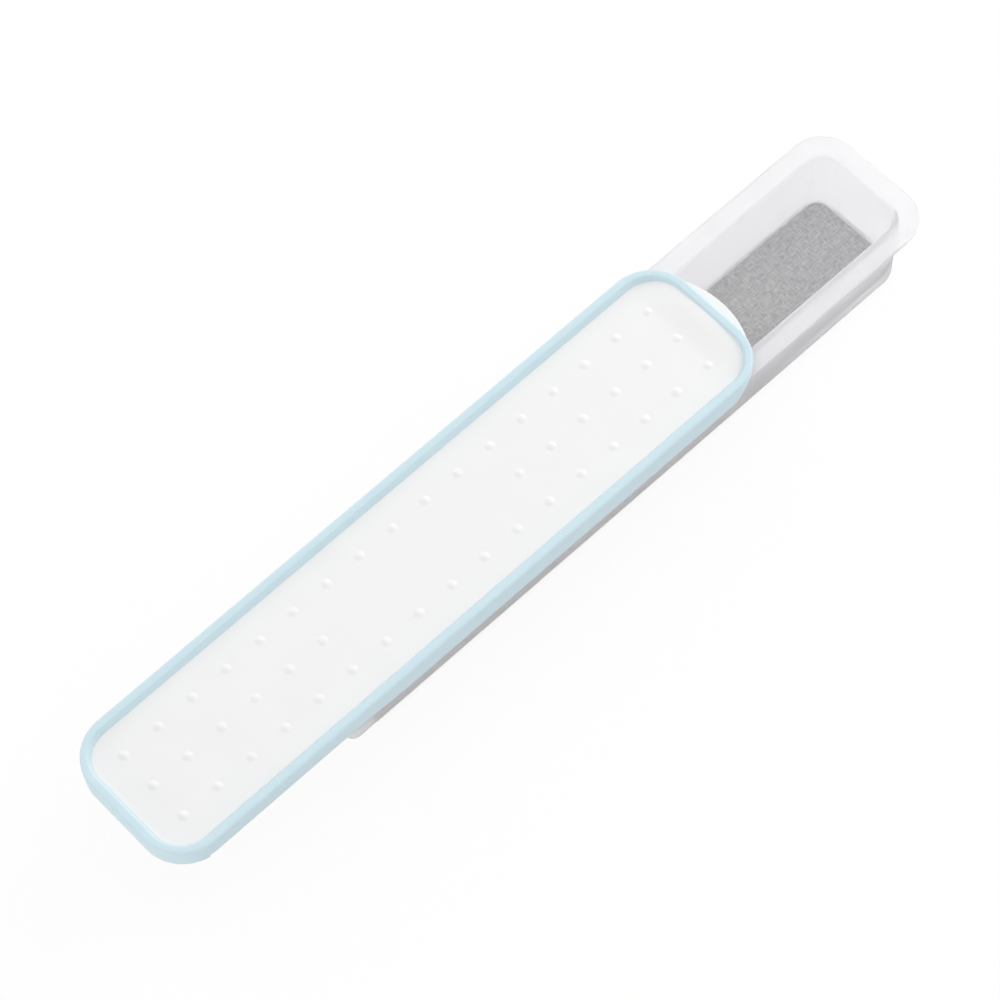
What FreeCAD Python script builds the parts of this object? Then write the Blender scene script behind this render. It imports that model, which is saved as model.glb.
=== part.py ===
import FreeCAD, Part
import math
import os
import Sketcher

# Slim travel case: an open tray whose flat rim runs in two channels under a sliding lid.
# X runs along the case, the tray's sloped end and the lid's thumb lip face +X. Z is up.
# The origin is on the underside of the tray, in the middle of the rim. All sizes are in millimetres.

SIZES = {
    # tray
    "rim_length": 210.6,
    "rim_width": 42.6,
    "rim_corner": 11.3,
    "rim_far_corner": 10.3,
    "rim_thickness": 1.4,
    "rim_edge": 0.3,
    "mouth_edge": 0.8,
    "tray_height": 25.2,
    "flange": 4.7,
    "near_flange": 0.3,
    "wall_thickness": 1.6,
    "floor_thickness": 2.0,
    "hollow_corner": 5.5,
    "foot_corner": 3.0,
    "foot_far_corner": 7.0,
    "foot_edge": 1.2,
    "side_draft": 0.1,
    "near_draft": 0.2,
    "far_draft": 1.9,
    # liner on the tray's floor
    "liner_thickness": 1.2,
    "liner_margin": 0.1,
    # how the lid runs on the rim
    "lid_opening": 59.3,
    "slide_gap": 0.3,
    "channel_gap": 0.3,
    "channel_wall": 0.7,
    "hook_thickness": 2.0,
    "hook_reach": 2.2,
    "runner_height": 0.2,
    "runner_width": 4.0,
    # lid top
    "plate_thickness": 1.0,
    "far_overlap": 2.8,
    "ramp_rise": 1.4,
    "lip_reach": 3.2,
    "lip_radius": 29.0,
    "lip_thickness": 1.0,
    # grip dots
    "dot_pitch": 11.5,
    "dot_width": 2.8,
    "dot_height": 0.55,
    "dot_root": 0.4,
    "dot_shift": 0.6,
    "dot_margin": 6.0,
    # soft border
    "border_skin": 0.7,
    "bead_width": 3.5,
    "bead_height": 2.0,
    "bead_outer_round": 1.0,
    "bead_inner_round": 1.3,
    "opening_corner": 8.5,
    "arch_rise": 1.1,
    "arch_length": 43.0,
    "arch_run": 24.0,
    "skirt_sweep": 7.5,
}

DOT_ROWS = 3
BARE_COLUMNS = 5
SAME_LEVEL = 1e-4

doc = FreeCAD.newDocument("travel_case")
sheet = doc.addObject("Spreadsheet::Sheet", "sizes")
for row, (alias, value) in enumerate(SIZES.items(), start=1):
    sheet.set(f"A{row}", alias)
    sheet.set(f"B{row}", str(value))
    sheet.setAlias(f"B{row}", alias)
doc.recompute()


def size(expression):
    """Value of an expression on the sheet, in millimetres."""
    value = sheet.evalExpression(expression)
    return float(getattr(value, "Value", value))


# Places along X, with the lid shut. The lid bodies are slid open by their placements.
RIM_END = "sizes.rim_length / 2"
RIM_HALF = "sizes.rim_width / 2"
WALL_NEAR = f"-({RIM_END}) + sizes.near_flange"
WALL_FAR = f"{RIM_END} - sizes.flange"
WALL_HALF = f"{RIM_HALF} - sizes.flange"
HOLLOW_FAR = f"{WALL_FAR} - sizes.wall_thickness"
LID_SIDE = "(sizes.channel_gap + sizes.channel_wall + sizes.border_skin)"
LID_NEAR = f"-({RIM_END}) - {LID_SIDE}"
LID_FAR = f"{HOLLOW_FAR} + sizes.far_overlap"
LID_HALF = f"{RIM_HALF} + {LID_SIDE}"
LID_CORNER = f"sizes.rim_corner + {LID_SIDE}"
PLATE_NEAR = f"{LID_NEAR} + sizes.border_skin"
PLATE_FAR = f"{LID_FAR} - sizes.border_skin"
PLATE_HALF = f"{LID_HALF} - sizes.border_skin"
PLATE_CORNER = f"{LID_CORNER} - sizes.border_skin"
OPENING_NEAR = f"{LID_NEAR} + sizes.bead_width"
OPENING_FAR = f"{LID_FAR} - sizes.bead_width"
OPENING_HALF = f"{LID_HALF} - sizes.bead_width"
RAIL_NEAR = f"{LID_NEAR} + {LID_CORNER}"
RAIL_FAR = f"{LID_FAR} - ({LID_CORNER})"
HOOK_FAR = f"{RAIL_FAR} - sizes.skirt_sweep"
ARCH_FAR = f"{RAIL_NEAR} + sizes.arch_length"
LIP_TIP = f"{LID_FAR} + sizes.lip_reach"
DOT_FIELD = f"({OPENING_FAR} - ({OPENING_NEAR}) - 2 * sizes.dot_margin)"
DOT_COLUMNS = math.floor(size(f"{DOT_FIELD} / sizes.dot_pitch")) + 1
DOT_MIDDLE = f"({LID_NEAR} + {LID_FAR}) / 2 - sizes.dot_shift"
FIRST_DOT = f"{DOT_MIDDLE} - {(DOT_COLUMNS - 1) / 2} * sizes.dot_pitch"
LAST_DOT = f"{DOT_MIDDLE} + {(DOT_COLUMNS - 1) / 2} * sizes.dot_pitch"
ABOVE_FLOOR = "(1 - sizes.floor_thickness / sizes.tray_height)"

# Levels along Z
RIM_UNDER = "sizes.tray_height - sizes.rim_thickness"
LID_UNDER = "sizes.tray_height + sizes.slide_gap"
PLATE_UNDER = f"{LID_UNDER} + sizes.runner_height"
PANEL_TOP = f"{PLATE_UNDER} + sizes.plate_thickness"
BEAD_TOP = f"{PANEL_TOP} + sizes.bead_height"
HOOK_TOP = f"{RIM_UNDER} - sizes.slide_gap"
HOOK_UNDER = f"{HOOK_TOP} - sizes.hook_thickness"
ARCH_TOP = f"{HOOK_UNDER} + sizes.arch_rise"
BELOW_SKIRT = f"{HOOK_UNDER} - sizes.arch_rise"


def origin_part(body, role):
    for feature in body.Origin.OriginFeatures:
        if feature.Role == role:
            return feature
    raise RuntimeError(f"{body.Label} has no {role}")


def new_body(label):
    body = doc.addObject("PartDesign::Body", label)
    body.Label = label
    return body


def new_sketch(body, name, plane, offset=None):
    """Sketch on an origin plane of its own body, moved along the plane's normal by any expression given."""
    sketch = body.newObject("Sketcher::SketchObject", name)
    sketch.AttachmentSupport = (origin_part(body, plane), [""])
    sketch.MapMode = "FlatFace"
    if offset is not None:
        sketch.setExpression("AttachmentOffset.Base.z", offset)
    return sketch


def point(x, y):
    return FreeCAD.Vector(x, y, 0)


def place(sketch, name, geometry, end, x=None, y=None):
    """Dimension one sketch point from the origin, with each distance bound to an expression."""
    for kind, axis, expression in (("DistanceX", "x", x), ("DistanceY", "y", y)):
        if expression is None:
            continue
        index = sketch.addConstraint(Sketcher.Constraint(kind, -1, 1, geometry, end, size(expression)))
        sketch.renameConstraint(index, f"{name}_{axis}")
        sketch.setExpression(f"Constraints.{name}_{axis}", expression)


def rounded_outline(body, name, level, near, far, half, corner, far_corner=None):
    """Rounded rectangle on a level plane, even about the X axis."""
    sketch = new_sketch(body, name, "XY_Plane", level)
    far_corner = far_corner or corner
    x0, x1, y1 = size(near), size(far), size(half)
    r0, r1 = size(corner), size(far_corner)
    lines = (
        (point(x0 + r0, -y1), point(x1 - r1, -y1)),
        (point(x1, -y1 + r1), point(x1, y1 - r1)),
        (point(x1 - r1, y1), point(x0 + r0, y1)),
        (point(x0, y1 - r0), point(x0, -y1 + r0)),
    )
    rounds = (
        (point(x1 - r1, -y1 + r1), r1),
        (point(x1 - r1, y1 - r1), r1),
        (point(x0 + r0, y1 - r0), r0),
        (point(x0 + r0, -y1 + r0), r0),
    )
    quarter = math.pi / 2
    for number, (ends, (centre, radius)) in enumerate(zip(lines, rounds)):
        start = (number - 1) * quarter
        circle = Part.Circle(centre, FreeCAD.Vector(0, 0, 1), radius)
        sketch.addGeometry(Part.LineSegment(*ends))
        sketch.addGeometry(Part.ArcOfCircle(circle, start, start + quarter))
    for line in (0, 2, 4, 6):
        arc = line + 1
        sketch.addConstraint(Sketcher.Constraint("Tangent", line, 2, arc, 1))
        sketch.addConstraint(Sketcher.Constraint("Tangent", arc, 2, (line + 2) % 8, 1))
        sketch.addConstraint(Sketcher.Constraint("Horizontal" if line in (0, 4) else "Vertical", line))
    for end, first, second, radius in (("far", 1, 3, far_corner), ("near", 5, 7, corner)):
        sketch.addConstraint(Sketcher.Constraint("Equal", first, second))
        index = sketch.addConstraint(Sketcher.Constraint("Radius", first, size(radius)))
        sketch.renameConstraint(index, f"{end}_corner")
        sketch.setExpression(f"Constraints.{end}_corner", radius)
    place(sketch, "side", 0, 1, y=f"-({half})")
    place(sketch, "other_side", 4, 1, y=half)
    place(sketch, "far", 2, 1, x=far)
    place(sketch, "near", 6, 1, x=near)
    return sketch


def polygon(body, name, plane, offset, corners):
    """Closed outline of straight lines through named corners, each an (x, y) pair of expressions."""
    sketch = new_sketch(body, name, plane, offset)
    points = [point(size(x), size(y)) for x, y in corners.values()]
    count = len(points)
    for number in range(count):
        sketch.addGeometry(Part.LineSegment(points[number], points[(number + 1) % count]))
    for number in range(count):
        sketch.addConstraint(Sketcher.Constraint("Coincident", number, 2, (number + 1) % count, 1))
    for number, (corner, (x, y)) in enumerate(corners.items()):
        place(sketch, corner, number, 1, x=x, y=y)
    return sketch


def pad(body, name, sketch, length):
    feature = body.newObject("PartDesign::Pad", name)
    feature.Profile = sketch
    feature.setExpression("Length", length)
    doc.recompute()
    return feature


def pocket(body, name, sketch, length=None, upward=False):
    """Cut along the sketch's normal, or right through both ways where no length is given."""
    feature = body.newObject("PartDesign::Pocket", name)
    feature.Profile = sketch
    if length is None:
        feature.Type = "ThroughAll"
        feature.Midplane = True
    else:
        feature.setExpression("Length", length)
        feature.Reversed = upward
    before = feature.BaseFeature.Shape.Volume
    doc.recompute()
    if not feature.Shape.Volume < before:
        raise RuntimeError(f"{name} cuts nothing")
    return feature


def loft(body, name, kind, first, second):
    feature = body.newObject(kind, name)
    feature.Profile = first
    feature.Sections = [second]
    feature.Ruled = True
    doc.recompute()
    return feature


def face_at(feature, level):
    """Level face of a feature at a given height, the largest if there are several."""
    def lies_there(face):
        box = face.BoundBox
        return max(abs(box.ZMin - level), abs(box.ZMax - level)) < SAME_LEVEL
    return max(filter(lies_there, feature.Shape.Faces), key=lambda face: face.Area)


def inner_edges(face):
    """Edges of the one opening in a face."""
    wires = [wire for wire in face.Wires if not wire.isSame(face.OuterWire)]
    return wires[0].Edges


def round_edges(body, name, base, radius, edges):
    """Fillet on some edges of a feature."""
    def is_chosen(edge):
        return any(edge.isSame(other) for other in edges)
    names = [f"Edge{number}" for number, edge in enumerate(base.Shape.Edges, start=1) if is_chosen(edge)]
    feature = body.newObject("PartDesign::Fillet", name)
    feature.Base = (base, names)
    feature.setExpression("Radius", radius)
    doc.recompute()
    return feature


def build_tray():
    body = new_body("base_tray")
    wall_corner = "sizes.hollow_corner + sizes.wall_thickness"
    foot = rounded_outline(
        body, "foot_outline", None,
        f"{WALL_NEAR} + sizes.near_draft", f"{WALL_FAR} - sizes.far_draft",
        f"{WALL_HALF} - sizes.side_draft", "sizes.foot_corner", "sizes.foot_far_corner")
    brim = rounded_outline(
        body, "brim_outline", "sizes.tray_height", WALL_NEAR, WALL_FAR, WALL_HALF, wall_corner)
    loft(body, "tub", "PartDesign::AdditiveLoft", foot, brim)
    rim = rounded_outline(
        body, "rim_outline", RIM_UNDER, f"-({RIM_END})", RIM_END, RIM_HALF,
        "sizes.rim_corner", "sizes.rim_far_corner")
    pad(body, "rim", rim, "sizes.rim_thickness")
    floor = rounded_outline(
        body, "floor_outline", "sizes.floor_thickness",
        f"{WALL_NEAR} + sizes.wall_thickness + sizes.near_draft * {ABOVE_FLOOR}",
        f"{HOLLOW_FAR} - sizes.far_draft * {ABOVE_FLOOR}",
        f"{WALL_HALF} - sizes.wall_thickness - sizes.side_draft * {ABOVE_FLOOR}",
        "sizes.foot_corner - sizes.wall_thickness")
    mouth = rounded_outline(
        body, "mouth_outline", "sizes.tray_height",
        f"{WALL_NEAR} + sizes.wall_thickness", HOLLOW_FAR,
        f"{WALL_HALF} - sizes.wall_thickness", "sizes.hollow_corner")
    hollow = loft(body, "hollow", "PartDesign::SubtractiveLoft", floor, mouth)
    underside = face_at(hollow, 0)
    rounded_foot = round_edges(body, "rounded_foot", hollow, "sizes.foot_edge", underside.Edges)
    rim_top = face_at(rounded_foot, size("sizes.tray_height"))
    rounded_mouth = round_edges(
        body, "rounded_mouth", rounded_foot, "sizes.mouth_edge", inner_edges(rim_top))
    rim_top = face_at(rounded_mouth, size("sizes.tray_height"))
    round_edges(body, "eased_rim", rounded_mouth, "sizes.rim_edge", rim_top.OuterWire.Edges)
    return body


def build_liner():
    body = new_body("tray_liner")
    inset = "sizes.wall_thickness + sizes.liner_margin"
    outline = rounded_outline(
        body, "liner_outline", "sizes.floor_thickness",
        f"{WALL_NEAR} + {inset} + sizes.near_draft * {ABOVE_FLOOR}",
        f"{WALL_FAR} - ({inset}) - sizes.far_draft * {ABOVE_FLOOR}",
        f"{WALL_HALF} - ({inset}) - sizes.side_draft * {ABOVE_FLOOR}",
        f"sizes.foot_corner - ({inset})")
    pad(body, "sheet_pad", outline, "sizes.liner_thickness")
    return body


def lip_outline(body, name):
    """Crescent of the thumb lip: one arc out to the tip, closed by a chord under the panel."""
    sketch = new_sketch(body, name, "XY_Plane", LID_UNDER)
    radius = size("sizes.lip_radius")
    chord, tip = size(OPENING_FAR), size(LIP_TIP)
    half = (radius ** 2 - (chord - tip + radius) ** 2) ** 0.5
    sketch.addGeometry(Part.Arc(point(chord, -half), point(tip, 0), point(chord, half)))
    sketch.addGeometry(Part.LineSegment(point(chord, half), point(chord, -half)))
    sketch.addConstraint(Sketcher.Constraint("Coincident", 0, 2, 1, 1))
    sketch.addConstraint(Sketcher.Constraint("Coincident", 1, 2, 0, 1))
    sketch.addConstraint(Sketcher.Constraint("Vertical", 1))
    sketch.addConstraint(Sketcher.Constraint("PointOnObject", 0, 3, -1))
    index = sketch.addConstraint(Sketcher.Constraint("Radius", 0, radius))
    sketch.renameConstraint(index, "lip_radius")
    sketch.setExpression("Constraints.lip_radius", "sizes.lip_radius")
    place(sketch, "chord", 1, 1, x=OPENING_FAR)
    place(sketch, "centre", 0, 3, x=f"{LIP_TIP} - sizes.lip_radius")
    return sketch


def dot(body, name, column_x, row):
    """One grip dot: a low dome on the panel, turned about its own axis, with a root in the plate."""
    sketch = new_sketch(body, f"{name}_profile", "XZ_Plane", f"{-row} * sizes.dot_pitch")
    x, z = size(column_x), size(PANEL_TOP)
    radius, height, root = size("sizes.dot_width / 2"), size("sizes.dot_height"), size("sizes.dot_root")
    ball = (radius ** 2 + height ** 2) / (2 * height)
    crown, edge = point(x, z + height), point(x + radius, z)
    centre = point(x, z + height - ball)
    direction = (crown + edge) * 0.5 - centre
    middle = centre + direction * (ball / direction.Length)
    sketch.addGeometry(Part.Arc(edge, middle, crown))
    sketch.addGeometry(Part.LineSegment(crown, point(x, z - root)))
    sketch.addGeometry(Part.LineSegment(point(x, z - root), point(x + radius, z - root)))
    sketch.addGeometry(Part.LineSegment(point(x + radius, z - root), edge))
    for number in range(4):
        sketch.addConstraint(Sketcher.Constraint("Coincident", number, 2, (number + 1) % 4, 1))
    sketch.addConstraint(Sketcher.Constraint("Vertical", 1))
    sketch.addConstraint(Sketcher.Constraint("Horizontal", 2))
    sketch.addConstraint(Sketcher.Constraint("Vertical", 3))
    sketch.addConstraint(Sketcher.Constraint("PointOnObject", 0, 3, 1))
    place(sketch, "crown", 1, 1, x=column_x, y=f"{PANEL_TOP} + sizes.dot_height")
    place(sketch, "edge", 0, 1, x=f"{column_x} + sizes.dot_width / 2", y=PANEL_TOP)
    place(sketch, "root", 2, 1, y=f"{PANEL_TOP} - sizes.dot_root")
    feature = body.newObject("PartDesign::Revolution", name)
    feature.Profile = sketch
    feature.ReferenceAxis = (sketch, ["Edge2"])
    feature.Angle = 360
    doc.recompute()
    return feature


def dot_rows(body, name, first, columns, axis, copy_step):
    """Row of dots along X, and a copy of the whole row some pitches away along an axis."""
    feature = body.newObject("PartDesign::LinearPattern", name)
    feature.Originals = [first]
    feature.Direction = (origin_part(body, "X_Axis"), [""])
    feature.setExpression("Length", f"{columns - 1} * sizes.dot_pitch")
    feature.Occurrences = columns
    feature.Direction2 = (origin_part(body, axis), [""])
    feature.setExpression("Length2", f"{copy_step} * sizes.dot_pitch")
    feature.Occurrences2 = 2
    body.Tip = feature
    doc.recompute()
    return feature


def build_lid_panel():
    body = new_body("lid_panel")
    body.setExpression("Placement.Base.x", "-sizes.lid_opening")
    plate = rounded_outline(body, "plate_outline", LID_UNDER, PLATE_NEAR, PLATE_FAR, PLATE_HALF, PLATE_CORNER)
    pad(body, "plate", plate, "sizes.runner_height + sizes.plate_thickness")
    recess = rounded_outline(
        body, "recess_outline", LID_UNDER,
        f"{PLATE_NEAR} + sizes.runner_width", f"{PLATE_FAR} - sizes.runner_width",
        f"{PLATE_HALF} - sizes.runner_width", f"{PLATE_CORNER} - sizes.runner_width")
    pocket(body, "recess", recess, "sizes.runner_height", upward=True)

    walls = rounded_outline(
        body, "channel_outline", HOOK_UNDER, PLATE_NEAR, PLATE_FAR, PLATE_HALF, PLATE_CORNER)
    pad(body, "channel", walls, f"{LID_UNDER} - ({HOOK_UNDER})")
    run = rounded_outline(
        body, "run_outline", HOOK_UNDER,
        f"{PLATE_NEAR} + sizes.channel_wall", f"{PLATE_FAR} - sizes.channel_wall",
        f"{PLATE_HALF} - sizes.channel_wall", f"{PLATE_CORNER} - sizes.channel_wall")
    pocket(body, "channel_run", run, f"{LID_UNDER} - ({HOOK_UNDER})", upward=True)
    open_end = polygon(
        body, "open_end_outline", "XY_Plane", HOOK_UNDER,
        {"near_right": (HOOK_FAR, f"-({LID_HALF})"), "far_right": (LID_FAR, f"-({LID_HALF})"),
         "far_left": (LID_FAR, LID_HALF), "near_left": (HOOK_FAR, LID_HALF)})
    pocket(body, "open_end", open_end, f"{LID_UNDER} - ({HOOK_UNDER})", upward=True)

    for side, sign in (("left", ""), ("right", "-")):
        inner = f"{sign}({RIM_HALF} - sizes.hook_reach)"
        outer = f"{sign}({PLATE_HALF} - sizes.channel_wall / 2)"
        hook = polygon(
            body, f"{side}_hook_outline", "XY_Plane", HOOK_UNDER,
            {"near_inner": (RAIL_NEAR, inner), "far_inner": (HOOK_FAR, inner),
             "far_outer": (HOOK_FAR, outer), "near_outer": (RAIL_NEAR, outer)})
        pad(body, f"{side}_hook", hook, "sizes.hook_thickness")

    pad(body, "thumb_lip", lip_outline(body, "lip_outline"), "sizes.lip_thickness")

    deck = rounded_outline(
        body, "deck_outline", PANEL_TOP, OPENING_NEAR, OPENING_FAR, OPENING_HALF, "sizes.opening_corner")
    pad(body, "deck", deck, "sizes.ramp_rise")
    above_deck = f"{PANEL_TOP} + 2 * sizes.ramp_rise"
    ramp = polygon(
        body, "ramp_outline", "XZ_Plane", None,
        {"near_low": (LID_NEAR, PANEL_TOP), "ramp_foot": (LAST_DOT, PANEL_TOP),
         "ramp_head": (OPENING_FAR, f"{PANEL_TOP} + sizes.ramp_rise"), "far_high": (OPENING_FAR, above_deck),
         "near_high": (LID_NEAR, above_deck)})
    pocket(body, "ramp", ramp)

    outer_dot = dot(body, "outer_dot", FIRST_DOT, -(DOT_ROWS - 1) / 2)
    dot_rows(body, "outer_dots", outer_dot, DOT_COLUMNS, "Y_Axis", DOT_ROWS - 1)
    group = (DOT_COLUMNS - BARE_COLUMNS) // 2
    middle_dot = dot(body, "middle_dot", FIRST_DOT, 0)
    dot_rows(body, "middle_dots", middle_dot, group, "X_Axis", DOT_COLUMNS - group)
    return body


def build_lid_border():
    body = new_body("lid_border")
    body.setExpression("Placement.Base.x", "-sizes.lid_opening")
    outline = rounded_outline(body, "border_outline", HOOK_UNDER, LID_NEAR, LID_FAR, LID_HALF, LID_CORNER)
    pad(body, "ring", outline, f"{BEAD_TOP} - ({HOOK_UNDER})")
    seat = rounded_outline(body, "seat_outline", HOOK_UNDER, PLATE_NEAR, PLATE_FAR, PLATE_HALF, PLATE_CORNER)
    pocket(body, "plate_seat", seat, f"{PANEL_TOP} - ({HOOK_UNDER})", upward=True)
    opening = rounded_outline(
        body, "opening_outline", BEAD_TOP, OPENING_NEAR, OPENING_FAR, OPENING_HALF, "sizes.opening_corner")
    pocket(body, "opening", opening, "sizes.bead_height")
    rim_side = f"({RIM_HALF} + sizes.channel_gap)"
    rim_path = polygon(
        body, "rim_path_outline", "XY_Plane", HOOK_UNDER,
        {"near_right": (RAIL_FAR, f"-{rim_side}"), "far_right": (LIP_TIP, f"-{rim_side}"),
         "far_left": (LIP_TIP, rim_side), "near_left": (RAIL_FAR, rim_side)})
    pocket(body, "rim_path", rim_path, f"{LID_UNDER} - ({HOOK_UNDER})", upward=True)
    arch = polygon(
        body, "arch_outline", "XZ_Plane", None,
        {"near_low": (RAIL_NEAR, BELOW_SKIRT), "near_high": (RAIL_NEAR, ARCH_TOP), "far_high": (ARCH_FAR, ARCH_TOP),
         "far_low": (f"{ARCH_FAR} + 2 * sizes.arch_run", BELOW_SKIRT)})
    pocket(body, "arch", arch)
    sweep = polygon(
        body, "sweep_outline", "XZ_Plane", None,
        {"near_low": (HOOK_FAR, BELOW_SKIRT), "near_high": (HOOK_FAR, HOOK_UNDER),
         "far_high": (f"{RAIL_FAR} + sizes.skirt_sweep", LID_UNDER),
         "end_high": (LIP_TIP, LID_UNDER), "end_low": (LIP_TIP, BELOW_SKIRT)})
    pocket(body, "sweep", sweep)
    slotted = pocket(body, "lip_slot", lip_outline(body, "slot_outline"), "sizes.lip_thickness", upward=True)
    crest = face_at(slotted, size(BEAD_TOP))
    rounded = round_edges(body, "outer_round", slotted, "sizes.bead_outer_round", crest.OuterWire.Edges)
    crest = face_at(rounded, size(BEAD_TOP))
    round_edges(body, "inner_round", rounded, "sizes.bead_inner_round", inner_edges(crest))
    return body


bodies = [build_tray(), build_liner(), build_lid_panel(), build_lid_border()]
doc.recompute()

for item in doc.Objects:
    if "Invalid" in item.State or "Error" in item.State:
        raise RuntimeError(f"{item.Label} failed: {item.State}")
for body in bodies:
    if body.Shape.isNull() or not body.Shape.isValid() or len(body.Shape.Solids) != 1:
        raise RuntimeError(f"{body.Label} is not one sound solid")

os.makedirs("parts", exist_ok=True)
for body in bodies:
    body.Shape.exportStep(f"parts/{body.Label}.step")
    box = body.Shape.BoundBox
    print(f"{body.Label}: {body.Shape.Volume / 1000:.2f} cm3, X {box.XMin:.2f} to {box.XMax:.2f}, "
          f"Y {box.YMin:.2f} to {box.YMax:.2f}, Z {box.ZMin:.2f} to {box.ZMax:.2f}")
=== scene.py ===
import math

import bmesh
import bpy
from mathutils import Matrix, Vector


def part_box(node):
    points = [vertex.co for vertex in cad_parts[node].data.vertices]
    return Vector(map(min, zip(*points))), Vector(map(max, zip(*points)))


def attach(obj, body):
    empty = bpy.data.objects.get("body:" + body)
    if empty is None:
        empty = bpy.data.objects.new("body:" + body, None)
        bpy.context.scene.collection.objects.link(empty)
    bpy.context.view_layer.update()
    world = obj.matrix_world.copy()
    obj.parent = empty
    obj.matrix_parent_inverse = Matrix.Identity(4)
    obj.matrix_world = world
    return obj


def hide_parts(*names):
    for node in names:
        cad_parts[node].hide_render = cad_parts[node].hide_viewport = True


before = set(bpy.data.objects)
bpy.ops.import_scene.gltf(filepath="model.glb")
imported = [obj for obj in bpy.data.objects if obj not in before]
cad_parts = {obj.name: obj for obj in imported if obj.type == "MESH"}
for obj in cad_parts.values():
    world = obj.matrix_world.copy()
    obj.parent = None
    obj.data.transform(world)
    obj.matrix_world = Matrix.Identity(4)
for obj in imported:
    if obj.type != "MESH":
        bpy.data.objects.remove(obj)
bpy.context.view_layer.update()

mm = 0.001
scene = bpy.context.scene
scene.view_settings.view_transform = "Standard"


def boxOf(node):
    low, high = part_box(node)
    return Vector(low) / mm, Vector(high) / mm


trayLow, trayHigh = boxOf("base_tray")
linerLow, linerHigh = boxOf("tray_liner")
panelLow, panelHigh = boxOf("lid_panel")
borderLow, borderHigh = boxOf("lid_border")


# Node and colour helpers
def linearColour(code):
    parts = [int(code[i:i + 2], 16) / 255 for i in (1, 3, 5)]
    return [p / 12.92 if p <= 0.04045 else ((p + 0.055) / 1.055) ** 2.4 for p in parts] + [1.0]


def perMm(size):
    return 1.0 / (size * mm)    # texture scale for a feature this many millimetres wide


def addNode(tree, kind, links=None, **settings):
    node = tree.nodes.new(kind)
    for key, value in settings.items():
        setattr(node, key, value)
    for key, value in (links or {}).items():
        if isinstance(value, bpy.types.NodeSocket):
            tree.links.new(value, node.inputs[key])
        else:
            node.inputs[key].default_value = value
    return node


def newMaterial(name):
    material = bpy.data.materials.new(name)
    material.use_nodes = True
    tree = material.node_tree
    tree.nodes.clear()
    return material, tree


# Colour that drifts a little, uneven gloss and a fine grain, as on any moulded skin.
# The real grain is under 0.1 mm wide, drawn at about half a millimetre so that it shows.
def mouldedSkin(tree, look):
    place = addNode(tree, "ShaderNodeTexCoord").outputs["Object"]
    cloud = addNode(tree, "ShaderNodeTexNoise", {
        "Vector": place, "Scale": perMm(look["cloudSize"]), "Detail": 3.0, "Roughness": 0.55})
    colour = addNode(tree, "ShaderNodeMix", {
        "Factor": cloud.outputs["Fac"], 6: linearColour(look["body"]), 7: linearColour(look["cloud"])},
        data_type="RGBA")
    low, high = look["rough"]
    rough = addNode(tree, "ShaderNodeMapRange", {
        "Value": cloud.outputs["Fac"], "From Min": 0.3, "From Max": 0.7, "To Min": low, "To Max": high})
    grain = addNode(tree, "ShaderNodeTexNoise", {
        "Vector": place, "Scale": perMm(look["grainSize"]), "Detail": 2.0, "Roughness": 0.6})
    bump = addNode(tree, "ShaderNodeBump", {
        "Height": grain.outputs["Fac"], "Strength": look["grain"], "Distance": 0.03 * mm})
    return {"Base Color": colour.outputs[2], "Roughness": rough.outputs["Result"],
            "Normal": bump.outputs["Normal"]}


# Moulded frosted polypropylene: milky, light soaks through the wall so that its inside stays bright,
# with a fine spark-eroded grain that takes the gloss down. The rim and the foot are thicker
# and let less through. The IOR is far under the plain 1.49, because the haze passes light on.
def frostedPolypropylene():
    look = {"body": "#F8F7FA", "cloud": "#FCFBFE", "cloudSize": 9.0, "grainSize": 0.45, "grain": 0.12,
            "rough": (0.44, 0.54), "wallClear": 0.74, "thickClear": 0.4, "rimDepth": 1.0,
            "footHeight": 1.4, "blend": 0.8, "soak": 4.0}
    material, tree = newMaterial("frostedPolypropylene")
    place = addNode(tree, "ShaderNodeTexCoord").outputs["Object"]
    height = addNode(tree, "ShaderNodeSeparateXYZ", {"Vector": place}).outputs["Z"]
    top, bottom = trayHigh.z - look["rimDepth"], look["footHeight"]
    middle, reach = (top + bottom) / 2 * mm, (top - bottom) / 2 * mm
    above = addNode(tree, "ShaderNodeMath", {0: height, 1: middle}, operation="SUBTRACT")
    away = addNode(tree, "ShaderNodeMath", {0: above.outputs["Value"]}, operation="ABSOLUTE")
    clear = addNode(tree, "ShaderNodeMapRange", {
        "Value": away.outputs["Value"], "From Min": reach - look["blend"] * mm, "From Max": reach,
        "To Min": look["wallClear"], "To Max": look["thickClear"]})
    shader = addNode(tree, "ShaderNodeBsdfPrincipled", {
        **mouldedSkin(tree, look), "IOR": 1.07, "Transmission Weight": clear.outputs["Result"],
        "Subsurface Weight": 1.0, "Subsurface Radius": (1.0, 1.0, 1.0), "Subsurface Scale": look["soak"] * mm})
    addNode(tree, "ShaderNodeOutputMaterial", {"Surface": shader.outputs["BSDF"]})
    return material


# Moulded white polypropylene: opaque, even satin, very fine grain
def whitePolypropylene():
    look = {"body": "#F1F1F1", "cloud": "#F5F5F5", "cloudSize": 14.0, "grainSize": 0.4, "grain": 0.1,
            "rough": (0.36, 0.44)}
    material, tree = newMaterial("whitePolypropylene")
    shader = addNode(tree, "ShaderNodeBsdfPrincipled", {**mouldedSkin(tree, look), "IOR": 1.49})
    addNode(tree, "ShaderNodeOutputMaterial", {"Surface": shader.outputs["BSDF"]})
    return material


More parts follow.
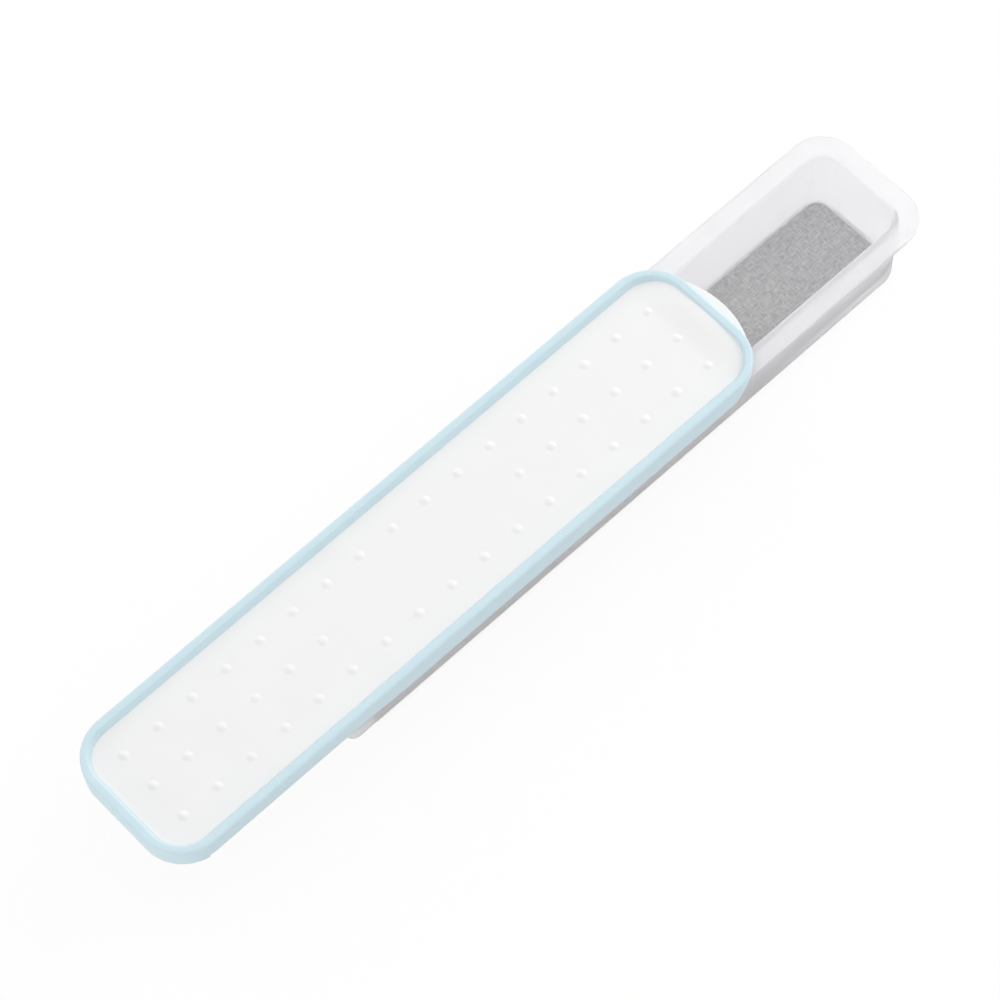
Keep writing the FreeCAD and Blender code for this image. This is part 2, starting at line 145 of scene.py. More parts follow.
# Moulded thermoplastic elastomer: soft satin skin that light enters a little, with no sharp gloss
def blueElastomer():
    look = {"body": "#CEE4ED", "cloud": "#D4E9F0", "cloudSize": 7.0, "grainSize": 0.5, "grain": 0.15,
            "rough": (0.36, 0.44), "soak": 0.8}
    material, tree = newMaterial("blueElastomer")
    shader = addNode(tree, "ShaderNodeBsdfPrincipled", {
        **mouldedSkin(tree, look), "IOR": 1.48, "Specular IOR Level": 0.25, "Subsurface Weight": 0.15,
        "Subsurface Scale": look["soak"] * mm, "Subsurface Radius": (0.8, 1.0, 1.0)})
    addNode(tree, "ShaderNodeOutputMaterial", {"Surface": shader.outputs["BSDF"]})
    return material


# Soft moulded pad with a linen face: dull grey, short slubs of thread both ways.
# The real threads are about 0.25 mm thick, drawn at 0.4 mm so that they show.
def greySoftPad():
    look = {"shade": "#A5A5A5", "thread": "#CBCBCB", "threadWidth": 0.4, "slubLength": 2.8}
    material, tree = newMaterial("greySoftPad")
    place = addNode(tree, "ShaderNodeTexCoord").outputs["Object"]
    thin, long = perMm(look["threadWidth"]), perMm(look["slubLength"])
    threads = []
    for scale in ((long, thin, thin), (thin, long, thin)):
        stretch = addNode(tree, "ShaderNodeMapping", {"Vector": place, "Scale": scale})
        slub = addNode(tree, "ShaderNodeTexNoise", {
            "Vector": stretch.outputs["Vector"], "Scale": 1.0, "Detail": 2.0, "Roughness": 0.65})
        threads.append(slub.outputs["Fac"])
    upper = addNode(tree, "ShaderNodeMath", {0: threads[0], 1: threads[1]}, operation="MAXIMUM")
    weave = upper.outputs["Value"]
    tone = addNode(tree, "ShaderNodeMapRange", {"Value": weave, "From Min": 0.42, "From Max": 0.68})
    colour = addNode(tree, "ShaderNodeMix", {
        "Factor": tone.outputs["Result"], 6: linearColour(look["shade"]), 7: linearColour(look["thread"])},
        data_type="RGBA")
    rough = addNode(tree, "ShaderNodeMapRange", {"Value": weave, "To Min": 0.92, "To Max": 0.74})
    bump = addNode(tree, "ShaderNodeBump", {"Height": weave, "Strength": 0.35, "Distance": 0.1 * mm})
    shader = addNode(tree, "ShaderNodeBsdfPrincipled", {
        "Base Color": colour.outputs[2], "Roughness": rough.outputs["Result"], "IOR": 1.45,
        "Normal": bump.outputs["Normal"]})
    addNode(tree, "ShaderNodeOutputMaterial", {"Surface": shader.outputs["BSDF"]})
    return material


finishes = {"tray": frostedPolypropylene(), "liner": greySoftPad(), "panel": whitePolypropylene(),
            "border": blueElastomer()}
print("materials made:", ", ".join(m.name for m in finishes.values()))


# Outlines are (near, far, half width, near corner, far corner) in millimetres
def grow(outline, by):
    near, far, half, nearCorner, farCorner = outline
    return near - by, far + by, half + by, nearCorner + by, farCorner + by


def between(first, second, share):
    return tuple(a + (b - a) * share for a, b in zip(first, second))


# One closed loop of points, anticlockwise from the right side's near end.
# A plan says how many steps a corner has and where along a side or an end there are points.
def loopPoints(outline, plan):
    near, far, half, nearCorner, farCorner = outline
    steps = plan["cornerSteps"]

    def arc(x, y, radius, start):
        turns = [math.radians(start + 90 * i / steps) for i in range(steps + 1)]
        return [(x + radius * math.cos(t), y + radius * math.sin(t)) for t in turns]

    def run(begin, end, stops):
        return [(begin[0] + (end[0] - begin[0]) * s, begin[1] + (end[1] - begin[1]) * s) for s in stops]

    farRight = arc(far - farCorner, farCorner - half, farCorner, -90)
    farLeft = arc(far - farCorner, half - farCorner, farCorner, 0)
    nearLeft = arc(near + nearCorner, half - nearCorner, nearCorner, 90)
    nearRight = arc(near + nearCorner, nearCorner - half, nearCorner, 180)
    sideStops, endStops = plan["sideStops"], plan["endStops"]
    back = [1 - s for s in reversed(sideStops)]
    return (run(nearRight[-1], farRight[0], sideStops) + farRight
            + run(farRight[-1], farLeft[0], endStops) + farLeft
            + run(farLeft[-1], nearLeft[0], back) + nearLeft
            + run(nearLeft[-1], nearRight[0], endStops) + nearRight)


def ring(outline, plan, height):
    points = loopPoints(outline, plan)
    return [(x, y, height(x, y) if callable(height) else height) for x, y in points]


# A cap is strips straight across from the right side to the left side
def capLoop(mesh, loop, plan):
    corner, side, end = plan["cornerSteps"] + 1, len(plan["sideStops"]), len(plan["endStops"])
    cuts = [side, corner, end, corner, side, corner, end, corner]
    parts, at = [], 0
    for count in cuts:
        parts.append(loop[at:at + count])
        at += count
    right = parts[7] + parts[0] + parts[1]
    left = list(reversed(parts[3] + parts[4] + parts[5]))
    for i in range(len(right) - 1):
        nearEnd = parts[6] if i == 0 else []
        farEnd = parts[2] if i == len(right) - 2 else []
        mesh.faces.new([right[i], right[i + 1]] + farEnd + [left[i + 1], left[i]] + nearEnd)


# Rows of points become vertices, and each row is joined to the next by a closed band of quads
def addBands(mesh, loops, tube=False):
    rows = [[mesh.verts.new(Vector(p) * mm) for p in loop] for loop in loops]
    pairs = list(zip(rows, rows[1:])) + ([(rows[-1], rows[0])] if tube else [])
    for low, high in pairs:
        for i in range(len(low)):
            j = (i + 1) % len(low)
            mesh.faces.new([low[i], low[j], high[j], high[i]])
    return rows


def addShell(mesh, loops, plan):
    rows = addBands(mesh, loops)
    capLoop(mesh, rows[0], plan)
    capLoop(mesh, rows[-1], plan)


def finishPiece(name, mesh, finish, body, node):
    weld = 1e-7
    bmesh.ops.remove_doubles(mesh, verts=mesh.verts, dist=weld)
    bmesh.ops.recalc_face_normals(mesh, faces=mesh.faces)
    data = bpy.data.meshes.new(name)
    mesh.to_mesh(data)
    mesh.free()
    data.shade_smooth()
    data.materials.append(finishes[finish])
    piece = bpy.data.objects.new(name, data)
    scene.collection.objects.link(piece)
    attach(piece, body)
    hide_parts(node)
    print(name, "made,", len(data.polygons), "faces")


def quarter(steps):
    return [math.pi / 2 * i / steps for i in range(steps + 1)]


# Tray: thin walled tub with a flat rim, made of loops from its floor out over the rim and down to its foot.
# Each hold is how far beside a rounding a loop keeps the flat face flat.
tray = {"rimThickness": 1.4, "rimEdge": 0.3, "rimCorner": 11.3, "rimFarCorner": 10.3,
        "flange": 4.7, "nearFlange": 0.3, "wall": 1.6, "floor": 2.0, "mouthEdge": 0.8, "mouthCorner": 5.5,
        "farDraft": 1.9, "nearDraft": 0.2, "sideDraft": 0.1, "floorRound": 0.8, "floorInsets": (1.6, 1.0),
        "footCorner": 3.0, "footFarCorner": 7.0, "footEdge": 1.2, "underEdge": 0.1, "underFlare": 0.02,
        "wallHold": 0.4, "mouthHold": 0.2, "rimHold": 0.12, "underHold": 0.5, "footHold": 0.5,
        "sideStops": (0.02, 0.25, 0.5, 0.75, 0.98)}


def trayBrim():
    corner = tray["mouthCorner"] + tray["wall"]
    return (trayLow.x + tray["nearFlange"], trayHigh.x - tray["flange"], trayHigh.y - tray["flange"],
            corner, corner)


def trayFoot():
    near, far, half, _, _ = trayBrim()
    return (near + tray["nearDraft"], far - tray["farDraft"], half - tray["sideDraft"],
            tray["footCorner"], tray["footFarCorner"])


def makeTray():
    t = tray
    plan = {"cornerSteps": 14, "sideStops": t["sideStops"], "endStops": ()}
    top = trayHigh.z
    rim = (trayLow.x, trayHigh.x, trayHigh.y, t["rimCorner"], t["rimFarCorner"])
    brim, foot = trayBrim(), trayFoot()

    def outside(z):
        return between(foot, brim, z / top)

    def inside(z):
        return grow(outside(z), -t["wall"])

    # Floor and the rounding up into the walls
    f = t["floorRound"]
    loops = [ring(grow(inside(t["floor"]), -inset), plan, t["floor"]) for inset in t["floorInsets"]]
    for a in quarter(4):
        z = t["floor"] + f * (1 - math.cos(a))
        loops.append(ring(grow(inside(z), f * (math.sin(a) - 1)), plan, z))

    # Inner walls and the rounded mouth
    e = t["mouthEdge"]
    for z in (t["floor"] + f + t["wallHold"], top - e - t["wallHold"]):
        loops.append(ring(inside(z), plan, z))
    for a in quarter(6):
        z = top - e + e * math.sin(a)
        loops.append(ring(grow(inside(z), e * (1 - math.cos(a))), plan, z))
    loops.append(ring(grow(inside(top), e + t["mouthHold"]), plan, top))

    # Rim, over its edge and back under it
    r = t["rimEdge"]
    loops.append(ring(grow(rim, -r - t["rimHold"]), plan, top))
    for a in quarter(5):
        loops.append(ring(grow(rim, r * (math.sin(a) - 1)), plan, top - r * (1 - math.cos(a))))
    u, under = t["underEdge"], top - t["rimThickness"]
    for a in quarter(2):
        loops.append(ring(grow(rim, u * (math.cos(a) - 1)), plan, under + u * (1 - math.sin(a))))
    for a in quarter(2):
        z = under - u * math.sin(a)
        flare = u * (1 - math.sin(a)) + t["underFlare"] * math.cos(a)
        loops.append(ring(grow(outside(z), flare), plan, z))

    # Outer walls and the foot
    b = t["footEdge"]
    for z in (under - t["underHold"], b + t["wallHold"]):
        loops.append(ring(outside(z), plan, z))
    for a in quarter(6):
        z = b * (1 - math.sin(a))
        loops.append(ring(grow(outside(z), b * (math.cos(a) - 1)), plan, z))
    loops.append(ring(grow(foot, -b - t["footHold"]), plan, 0.0))
    mesh = bmesh.new()
    addShell(mesh, loops, plan)
    finishPiece("caseTray", mesh, "tray", "tray", "base_tray")


# Liner: soft pad on the tray's floor with rolled edges
liner = {"corner": 2.6, "edge": 0.5, "footEdge": 0.1, "footHold": 0.5, "topHold": 0.4}


def makeLiner():
    plan = {"cornerSteps": 8, "sideStops": tray["sideStops"], "endStops": ()}
    outline = (linerLow.x, linerHigh.x, linerHigh.y, liner["corner"], liner["corner"])
    e, foot, low, high = liner["edge"], liner["footEdge"], linerLow.z, linerHigh.z
    loops = [ring(grow(outline, -liner["footHold"]), plan, low), ring(grow(outline, -foot), plan, low),
             ring(outline, plan, low + foot)]
    for a in quarter(5):
        loops.append(ring(grow(outline, e * (math.cos(a) - 1)), plan, high - e * (1 - math.sin(a))))
    loops.append(ring(grow(outline, -e - liner["topHold"]), plan, high))
    mesh = bmesh.new()
    addShell(mesh, loops, plan)
    finishPiece("trayLiner", mesh, "liner", "tray", "tray_liner")


# Levels and outlines that the lid's two mouldings share. The fit keeps their faces just apart.
lid = {"corner": 13.0, "skin": 0.7, "beadWidth": 3.5, "beadHeight": 2.0, "openingCorner": 8.5,
       "slideGap": 0.3, "lipThickness": 1.0, "lipRadius": 29.0, "lipHalf": 11.0, "rampRise": 1.5, "sweep": 7.5,
       "fit": 0.02}
lidOutline = (borderLow.x, borderHigh.x, borderHigh.y, lid["corner"], lid["corner"])
deck = borderHigh.z - lid["beadHeight"]
underside = trayHigh.z + lid["slideGap"]
railNear, railFar = borderLow.x + lid["corner"], borderHigh.x - lid["corner"]


def smooth(share):
    share = min(1.0, max(0.0, share))
    return share * share * (3 - 2 * share)


def lidInset(by):
    near, far, half, _, _ = grow(lidOutline, -by)
    tight = lid["corner"] - by * (lid["corner"] - lid["openingCorner"]) / lid["beadWidth"]
    return near, far, half, tight, tight


# Border: flat-topped bead round the lid that slopes down into the deck, with a skirt down its sides.
# The skirt is cut back in a long low arch behind the near corner, swept up at the far end
# and notched there for the thumb lip. Bends are where its lower edge needs points.
border = {"innerWidth": 1.5, "outerRound": 0.7, "hem": 0.25, "hemBack": 0.1, "hold": 0.15, "slopeSteps": 12,
          "archRise": 1.1, "archLength": 43.0, "archRun": 24.0, "jogAt": -3.0, "jog": 1.0, "notchEdge": 1.2,
          "sweepAt": 2.0, "sweepHalf": 3.5,
          "archBends": (8.0, 20.0), "runSteps": 6, "plainBends": (-50.0, -25.0, 0.0), "sweepSteps": 5,
          "endStops": (0.02, 0.04, 0.06, 0.1, 0.2, 0.35, 0.5, 0.65, 0.8, 0.9, 0.94, 0.96, 0.98)}


def skirtBottom(x, y):
    b = border
    level = borderLow.z
    archFar = railNear + b["archLength"]
    begun = smooth((x - railNear - b["jogAt"]) / b["jog"])
    ended = smooth((x - archFar) / b["archRun"])
    level += b["archRise"] * begun * (1 - ended)
    swept = smooth((x - railFar - b["sweepAt"] + b["sweepHalf"]) / (2 * b["sweepHalf"]))
    level += (underside - borderLow.z) * swept
    if x > railFar:
        level += lid["lipThickness"] * smooth((lid["lipHalf"] - abs(y)) / b["notchEdge"] + 0.5)
    return level


def makeBorder():
    b, top, width = border, borderHigh.z, lid["beadWidth"]
    archFar, run, sweep = railNear + b["archLength"], b["archRun"], lid["sweep"]
    bends = [railNear + by for by in b["archBends"]]
    bends += [archFar + run * k / b["runSteps"] for k in range(b["runSteps"] + 1)]
    bends += b["plainBends"]
    bends += [railFar - sweep * k / b["sweepSteps"] for k in range(b["sweepSteps"] + 1, 0, -1)]
    plan = {"cornerSteps": 40, "sideStops": [(x - railNear) / (railFar - railNear) for x in bends],
            "endStops": b["endStops"]}

    # Inner slope, flat top and outer rounding of the bead
    loops = []
    for k in range(b["slopeSteps"] + 1):
        share = k / b["slopeSteps"]
        height = deck + lid["beadHeight"] * smooth(share)
        loops.append(ring(lidInset(width - b["innerWidth"] * share), plan, height))
    o = b["outerRound"]
    loops.append(ring(lidInset(o + b["hold"]), plan, top))
    for a in quarter(8):
        loops.append(ring(lidInset(o * (1 - math.sin(a))), plan, top - o * (1 - math.cos(a))))

    # Skirt, round its hem and back up inside
    h, skin = b["hem"], lid["skin"]
    hemLoops = [(0.0, h + b["hold"])] + [(h * (1 - math.cos(a)), h * (1 - math.sin(a))) for a in quarter(3)]
    hemLoops += [(skin - b["hemBack"], 0.0), (skin, b["hemBack"])]
    for inset, rise in hemLoops:
        loops.append(ring(lidInset(inset), plan, lambda x, y, rise=rise: skirtBottom(x, y) + rise))
    loops.append(ring(lidInset(skin), plan, deck))
    mesh = bmesh.new()
    addBands(mesh, loops, tube=True)
    finishPiece("lidBorder", mesh, "border", "lid", "lid_border")


# Grip dots: three rows of low domes on the deck, the middle row bare along its centre.
# The top share is how much of a dome's sheet lies on top, before it turns under to its root.
dots = {"columns": 17, "rows": 3, "pitch": 11.5, "bareColumns": 5, "width": 3.4, "height": 0.45, "root": 0.3,
        "middleX": -62.5, "sink": 0.02, "topShare": 0.8, "rings": 11, "sides": 25}


def makeDots():
    tree = bpy.data.node_groups.new("gripDotField", "GeometryNodeTree")
    tree.interface.new_socket("Geometry", in_out="OUTPUT", socket_type="NodeSocketGeometry")
    names = {}
    for label, kind in (("Columns", "Int"), ("Rows", "Int"), ("Bare Columns", "Int"), ("Pitch", "Float"),
                        ("Dot Width", "Float"), ("Dot Height", "Float"), ("Dot Root", "Float"),
                        ("Middle", "Vector"), ("Finish", "Material")):
        entry = tree.interface.new_socket(label, in_out="INPUT", socket_type="NodeSocket" + kind)
        names[label] = entry.identifier
    given = addNode(tree, "NodeGroupInput").outputs
    place = addNode(tree, "GeometryNodeInputPosition").outputs["Position"]
    spot = addNode(tree, "ShaderNodeSeparateXYZ", {"Vector": place}).outputs

    # Each row names a sum of two numbers, inputs or rows above it
    share = dots["topShare"]
    fieldSums = (
        ("gapsX", "SUBTRACT", "Columns", 1.0), ("lengthX", "MULTIPLY", "gapsX", "Pitch"),
        ("gapsY", "SUBTRACT", "Rows", 1.0), ("lengthY", "MULTIPLY", "gapsY", "Pitch"),
        ("bareLength", "MULTIPLY", "Bare Columns", "Pitch"), ("bareReach", "MULTIPLY", "bareLength", 0.5),
        ("awayX", "ABSOLUTE", "x", 0.0), ("nearMiddle", "LESS_THAN", "awayX", "bareReach"),
        ("awayY", "ABSOLUTE", "y", 0.0), ("rowReach", "MULTIPLY", "Pitch", 0.5),
        ("middleRow", "LESS_THAN", "awayY", "rowReach"), ("bare", "MULTIPLY", "nearMiddle", "middleRow"))
    domeSums = (
        ("along", "ADD", "x", 0.5), ("around", "ADD", "y", 0.5), ("turn", "MULTIPLY", "around", 2 * math.pi),
        ("overAll", "DIVIDE", "along", share), ("over", "MINIMUM", "overAll", 1.0),
        ("past", "SUBTRACT", "along", share), ("pastAll", "DIVIDE", "past", 1 - share),
        ("beneath", "MAXIMUM", "pastAll", 0.0), ("reach", "SUBTRACT", "over", "beneath"),
        ("halfWidth", "MULTIPLY", "Dot Width", 0.5), ("radius", "MULTIPLY", "reach", "halfWidth"),
        ("square", "MULTIPLY", "over", "over"), ("fall", "SUBTRACT", 1.0, "square"),
        ("crown", "POWER", "fall", 2.0), ("height", "MULTIPLY", "crown", "Dot Height"),
        ("turned", "GREATER_THAN", "beneath", 0.0), ("drop", "MULTIPLY", "turned", "Dot Root"),
        ("rise", "SUBTRACT", "height", "drop"),
        ("cosine", "COSINE", "turn", 0.0), ("sine", "SINE", "turn", 0.0),
        ("domeX", "MULTIPLY", "radius", "cosine"), ("domeY", "MULTIPLY", "radius", "sine"))
    known = {label: given[label] for label in names}
    known.update({"x": spot["X"], "y": spot["Y"]})
    for name, operation, first, second in fieldSums + domeSums:
        node = addNode(tree, "ShaderNodeMath", {0: known.get(first, first), 1: known.get(second, second)},
                       operation=operation)
        known[name] = node.outputs["Value"]

    # The field of points, less the bare stretch of the middle row
    field = addNode(tree, "GeometryNodeMeshGrid", {
        "Size X": known["lengthX"], "Size Y": known["lengthY"],
        "Vertices X": given["Columns"], "Vertices Y": given["Rows"]})
    kept = addNode(tree, "GeometryNodeDeleteGeometry", {
        "Geometry": field.outputs["Mesh"], "Selection": known["bare"]}, domain="POINT")

    # One dome: a grid wrapped to polar form, over the top to its edge and back under to the centre
    sheet = addNode(tree, "GeometryNodeMeshGrid", {
        "Size X": 1.0, "Size Y": 1.0, "Vertices X": dots["rings"], "Vertices Y": dots["sides"]})
    wrapped = addNode(tree, "ShaderNodeCombineXYZ", {
        "X": known["domeX"], "Y": known["domeY"], "Z": known["rise"]})
    dome = addNode(tree, "GeometryNodeSetPosition", {
        "Geometry": sheet.outputs["Mesh"], "Position": wrapped.outputs["Vector"]})
    sealed = addNode(tree, "GeometryNodeMergeByDistance", {
        "Geometry": dome.outputs["Geometry"], "Distance": 0.001 * mm})
    soft = addNode(tree, "GeometryNodeSetShadeSmooth", {"Geometry": sealed.outputs["Geometry"]})

    # A dome on every point, set on the deck
    spread = addNode(tree, "GeometryNodeInstanceOnPoints", {
        "Points": kept.outputs["Geometry"], "Instance": soft.outputs["Geometry"]})
    placed = addNode(tree, "GeometryNodeTransform", {
        "Geometry": spread.outputs["Instances"], "Translation": given["Middle"]})
    real = addNode(tree, "GeometryNodeRealizeInstances", {"Geometry": placed.outputs["Geometry"]})
    coated = addNode(tree, "GeometryNodeSetMaterial", {
        "Geometry": real.outputs["Geometry"], "Material": given["Finish"]})
    addNode(tree, "NodeGroupOutput", {"Geometry": coated.outputs["Geometry"]})

    carrier = bpy.data.objects.new("gripDots", bpy.data.meshes.new("gripDotSeed"))
    scene.collection.objects.link(carrier)
    modifier = carrier.modifiers.new("dotField", "NODES")
    modifier.node_group = tree
    values = {"Columns": dots["columns"], "Rows": dots["rows"], "Bare Columns": dots["bareColumns"],
              "Pitch": dots["pitch"] * mm, "Dot Width": dots["width"] * mm,
              "Dot Height": dots["height"] * mm, "Dot Root": dots["root"] * mm,
              "Middle": (dots["middleX"] * mm, 0.0, (deck - dots["sink"]) * mm), "Finish": finishes["panel"]}
    for label, value in values.items():
        modifier[names[label]] = value
    graph = bpy.context.evaluated_depsgraph_get()
    made = bpy.data.meshes.new_from_object(carrier.evaluated_get(graph))
    carrier.modifiers.remove(modifier)
    carrier.data = made
    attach(carrier, "lid")
    print("gripDots made,", len(made.polygons), "faces")


# Lid panel: recessed deck whose edge curves up into the border, a thumb ramp and lip at the far end,
# and on its underside the channels that hold the tray's rim
panel = {"coveWidth": 1.2, "coveRise": 0.06, "coveSteps": 8, "coveCurve": 2.6, "tuck": 1.2, "tuckEdge": 0.1,
         "deckCorner": 0.5, "deckSteps": (9.5, 8.5, 7.5, 6.5, 5.5, 4.5, 3.5, 2.5, 1.7, 1.0, 0.3),
         "channelWall": 0.7, "runnerWidth": 4.0, "runnerHeight": 0.2,
         "hookThickness": 2.0, "hookReach": 2.2, "hookEdge": 0.25, "hookCorner": 0.4,
         "lipEdge": 0.45, "lipUnderEdge": 0.15, "lipHold": 0.3, "lipRoot": 2.0, "lipSteps": 24,
         "nearStops": (0.02, 0.25, 0.5, 0.7, 0.8, 0.9), "farStops": (0.96, 0.985), "endSteps": 10}


# The ramp starts at the last column of dots, and is highest in the middle of the lid
def deckLevel(x, y):
    start = dots["middleX"] + (dots["columns"] - 1) / 2 * dots["pitch"]
    end = borderHigh.x - lid["beadWidth"]
    crown = 1 - (y / (borderHigh.y - lid["beadWidth"])) ** 2
    return deck + lid["rampRise"] * smooth((x - start) / (end - start)) * max(0.0, crown)


# The channel walls stop short of the far corners, where the skirt sweeps up
def channelBottom(x, y):
    slack = 0.01
    return panelLow.z if x <= railFar - lid["sweep"] + slack else underside - lid["fit"]


def makePanel():
    p, fit = panel, lid["fit"]
    sweepStart = 1 - lid["sweep"] / (railFar - railNear)
    plan = {"cornerSteps": 16, "sideStops": p["nearStops"] + (sweepStart,) + p["farStops"],
            "endStops": [k / p["endSteps"] for k in range(1, p["endSteps"])]}
    opening = lidInset(lid["beadWidth"])
    edge = grow(lidOutline, -lid["skin"])

    # Loops on the deck carry the ramp, out to the cove along the border
    def deckLoop(by):
        near, far, half, corner, _ = grow(opening, -by)
        tight = max(corner, p["deckCorner"])
        return near, far, half, tight, tight

    cove = [(deckLoop(p["coveWidth"] + by), 0.0) for by in p["deckSteps"]]
    for k in range(p["coveSteps"] + 1):
        share = k / p["coveSteps"]
        cove.append((grow(opening, -p["coveWidth"] * (1 - share)), p["coveRise"] * share ** p["coveCurve"]))
    cove.append((grow(opening, p["tuck"]), p["coveRise"]))
    loops = [ring(o, plan, lambda x, y, rise=rise: deckLevel(x, y) + rise) for o, rise in cove]

    # Under the border, down the channel walls and in along the underside
    runner = grow(edge, -p["runnerWidth"])
    for outline, height in ((grow(opening, p["tuck"] + p["tuckEdge"]), deck - fit),
                            (grow(edge, -fit), deck - fit),
                            (grow(edge, -fit), channelBottom),
                            (grow(edge, -p["channelWall"]), channelBottom),
                            (grow(edge, -p["channelWall"]), underside),
                            (runner, underside),
                            (runner, underside + p["runnerHeight"])):
        loops.append(ring(outline, plan, height))
    mesh = bmesh.new()
    addShell(mesh, loops, plan)
    addHooks(mesh, edge[2])
    addLip(mesh)
    finishPiece("lidPanel", mesh, "panel", "lid", "lid_panel")


# Hooks under the rim, one bar along each side
def addHooks(mesh, edgeHalf):
    p = panel
    plan = {"cornerSteps": 3, "sideStops": (), "endStops": ()}
    inner = trayHigh.y - p["hookReach"]
    outer = edgeHalf - p["channelWall"] / 2
    h, low, high = p["hookEdge"], panelLow.z, panelLow.z + p["hookThickness"]
    bar = (railNear, railFar - lid["sweep"], (outer - inner) / 2, p["hookCorner"], p["hookCorner"])
    levels = [(-h, low), (0.0, low + h), (0.0, high - h), (-h, high)]
    for side in (-1, 1):
        middle = side * (inner + outer) / 2
        rows = [[(x, y + middle, z) for x, y, z in ring(grow(bar, by), plan, z)] for by, z in levels]
        addShell(mesh, rows, plan)


# The lip is a crescent that comes out under the border's far end
def addLip(mesh):
    steps, e, under = panel["lipSteps"], panel["lipEdge"], panel["lipUnderEdge"]
    low, high = underside, underside + lid["lipThickness"]
    centre, back = panelHigh.x - lid["lipRadius"], borderHigh.x - panel["lipRoot"]
    levels = [(under, low), (0.0, low + under), (0.0, high - e)]
    levels += [(e * (1 - math.cos(a)), high - e * (1 - math.sin(a))) for a in quarter(5)[1:]]
    levels.append((e + panel["lipHold"], high))
    loops = []
    for inset, z in levels:
        radius = lid["lipRadius"] - inset
        spread = math.acos((back - centre) / radius)
        turns = [spread * (2 * k / steps - 1) for k in range(steps + 1)]
        loops.append([(centre + radius * math.cos(t), radius * math.sin(t), z) for t in turns])
    rows = addBands(mesh, loops)
    for row in (rows[0], rows[-1]):
        for k in range(steps // 2):
            strip = [row[k], row[k + 1], row[steps - k - 1], row[steps - k]]
            mesh.faces.new(strip if k < steps // 2 - 1 else strip[:2] + strip[3:])


makeTray()
makeLiner()
makeBorder()
makePanel()
makeDots()

# Floor: white to the camera, with the case's soft shadow kept, and duller to the light that bounces off it.
# The stretch that the tray stands on is in its shadow, so it glows less, and least where the lid covers it.
floor = {"size": 6.0, "seen": "#FFFFFF", "bounce": "#EAEAEA", "glow": 0.9, "shadedGlow": 0.42,
         "shadeInset": 0.1, "shadeNear": 9.0}


# 1 for what the camera sees, straight or in a reflection or through the tray, and 0 for light on its way
def lightPathFactor(tree):
    path = addNode(tree, "ShaderNodeLightPath").outputs
    direct = addNode(tree, "ShaderNodeMath", {0: path["Is Camera Ray"], 1: path["Is Glossy Ray"]},
                     operation="MAXIMUM").outputs["Value"]
    return addNode(tree, "ShaderNodeMath", {0: direct, 1: path["Is Transmission Ray"]},
                   operation="MAXIMUM").outputs["Value"]


def makeFloor():
    near, far, wide, _, _ = grow(trayFoot(), -floor["shadeInset"])
    near += floor["shadeNear"]
    half = floor["size"] / 2 / mm
    corners = [(-half, -half), (half, -half), (half, half), (-half, half),
               (near, -wide), (far, -wide), (far, wide), (near, wide)]
    faces = [(k, (k + 1) % 4, 4 + (k + 1) % 4, 4 + k) for k in range(4)] + [(4, 5, 6, 7)]
    data = bpy.data.meshes.new("studioFloor")
    data.from_pydata([(x * mm, y * mm, 0.0) for x, y in corners], [], faces)
    for name in ("paleStudioFloor", "shadedStudioFloor"):
        material, tree = newMaterial(name)
        share = floor["glow"]
        if name == "shadedStudioFloor":
            place = addNode(tree, "ShaderNodeTexCoord").outputs["Object"]
            along = addNode(tree, "ShaderNodeSeparateXYZ", {"Vector": place}).outputs["X"]
            share = addNode(tree, "ShaderNodeMapRange", {
                "Value": along, "From Min": borderHigh.x * mm, "From Max": far * mm,
                "To Min": floor["shadedGlow"], "To Max": floor["glow"]}).outputs["Result"]
        bounce = addNode(tree, "ShaderNodeBsdfDiffuse", {"Color": linearColour(floor["bounce"])})
        face = addNode(tree, "ShaderNodeBsdfDiffuse", {"Color": linearColour(floor["seen"])})
        glow = addNode(tree, "ShaderNodeEmission", {"Color": linearColour(floor["seen"]), "Strength": 1.0})
        shown = addNode(tree, "ShaderNodeMixShader", {0: share, 1: face.outputs[0], 2: glow.outputs[0]})
        mix = addNode(tree, "ShaderNodeMixShader", {
            0: lightPathFactor(tree), 1: bounce.outputs[0], 2: shown.outputs[0]})
        addNode(tree, "ShaderNodeOutputMaterial", {"Surface": mix.outputs[0]})
        data.materials.append(material)
    data.polygons[len(faces) - 1].material_index = 1    # the shaded stretch
    piece = bpy.data.objects.new("studioFloor", data)
    scene.collection.objects.link(piece)


# Light: even pale room, one soft box low beyond the far end, weaker ones at the left side and the near end.
# Places and sizes here are in metres, power in watts.
light = {"horizon": 0.5, "zenith": 0.94, "aim": (-0.03, 0.0, 0.015), "lamps": {
    "end": {"toward": (0.93, -0.1, 0.42), "distance": 1.3, "size": 0.8, "power": 6.4},
    "left": {"toward": (0.15, 0.85, 0.5), "distance": 1.3, "size": 0.9, "power": 2.4},
    "near": {"toward": (-0.97, -0.2, 0.03), "distance": 1.3, "size": 0.5, "power": 4.0}}}


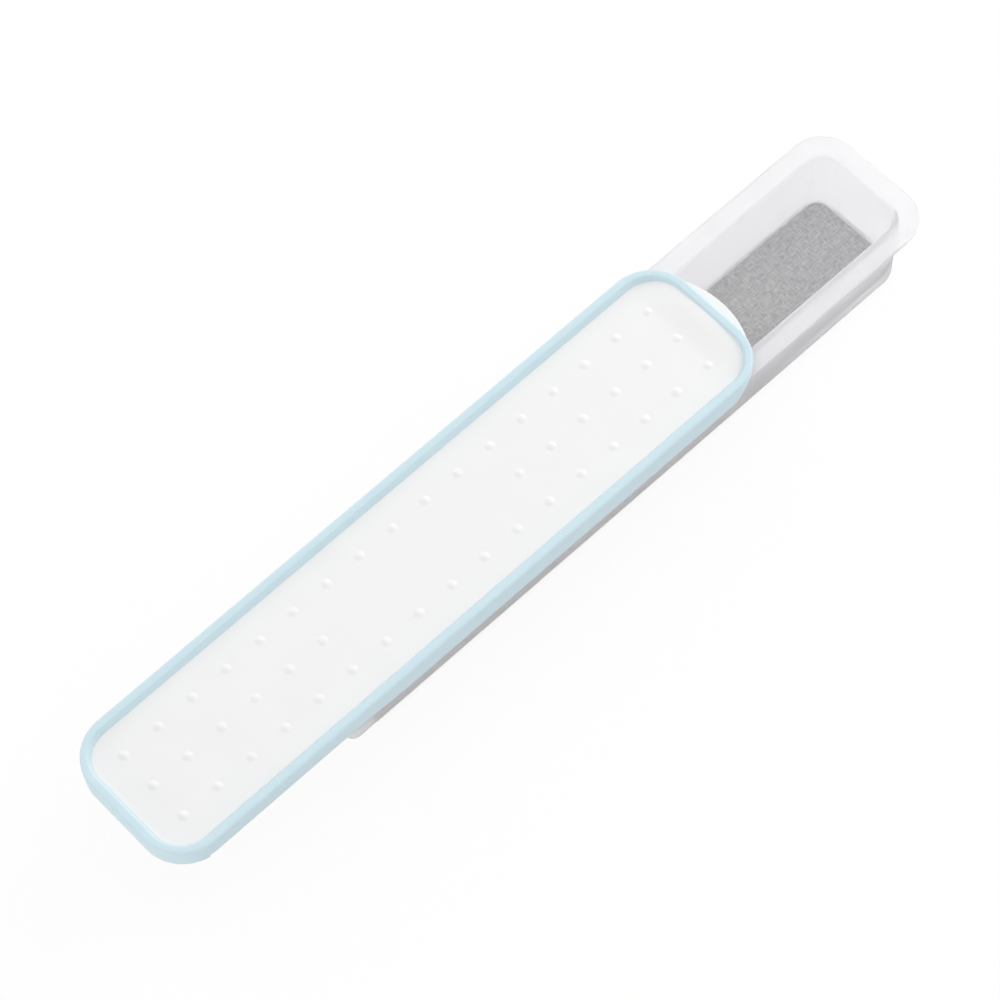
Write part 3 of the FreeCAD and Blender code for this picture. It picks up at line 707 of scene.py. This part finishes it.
def makeLight():
    world = bpy.data.worlds.new("studioRoom")
    world.use_nodes = True
    tree = world.node_tree
    tree.nodes.clear()
    white = linearColour("#FFFFFF")
    direction = addNode(tree, "ShaderNodeTexCoord").outputs["Generated"]
    height = addNode(tree, "ShaderNodeSeparateXYZ", {"Vector": direction}).outputs["Z"]
    level = addNode(tree, "ShaderNodeMapRange", {
        "Value": height, "To Min": light["horizon"], "To Max": light["zenith"]})
    room = addNode(tree, "ShaderNodeBackground", {"Color": white, "Strength": level.outputs["Result"]})
    backdrop = addNode(tree, "ShaderNodeBackground", {"Color": white, "Strength": 1.0})
    mix = addNode(tree, "ShaderNodeMixShader", {
        0: lightPathFactor(tree), 1: room.outputs[0], 2: backdrop.outputs[0]})
    addNode(tree, "ShaderNodeOutputWorld", {"Surface": mix.outputs[0]})
    scene.world = world
    for name, lamp in light["lamps"].items():
        data = bpy.data.lights.new(name + "Lamp", "AREA")
        data.size = lamp["size"]
        data.energy = lamp["power"]
        toward = Vector(lamp["toward"]).normalized()
        piece = bpy.data.objects.new(name + "Lamp", data)
        piece.location = Vector(light["aim"]) + toward * lamp["distance"]
        piece.rotation_euler = toward.to_track_quat("Z", "Y").to_euler()
        scene.collection.objects.link(piece)


# Camera: turned, raised and rolled as the picture was taken, looking at the middle of the dot field
view = {"azimuth": -37.133, "elevation": 62.495, "roll": -6.637, "distance": 1028.6, "slide": (20.17, 14.55),
        "lens": 143.24, "sensor": 36.0, "clipStart": 50.0}


def makeCamera():
    a, e, r = (math.radians(view[k]) for k in ("azimuth", "elevation", "roll"))
    back = Vector((math.sin(a) * math.cos(e), -math.cos(a) * math.cos(e), math.sin(e)))
    level = Vector((math.cos(a), math.sin(a), 0.0))
    upright = back.cross(level)
    right = level * math.cos(r) + upright * math.sin(r)
    up = upright * math.cos(r) - level * math.sin(r)
    middle = Vector((dots["middleX"], 0.0, deck))
    slideX, slideY = view["slide"]
    place = (middle + back * view["distance"] + right * slideX + up * slideY) * mm
    data = bpy.data.cameras.new("photoCamera")
    data.sensor_width = view["sensor"]
    data.lens = view["lens"]
    data.clip_start = view["clipStart"] * mm
    camera = bpy.data.objects.new("photoCamera", data)
    turn = Matrix((right, up, back)).transposed()
    camera.matrix_world = Matrix.Translation(place) @ turn.to_4x4()
    scene.collection.objects.link(camera)
    scene.camera = camera


makeFloor()
makeLight()
makeCamera()
print("floor, light and camera set")
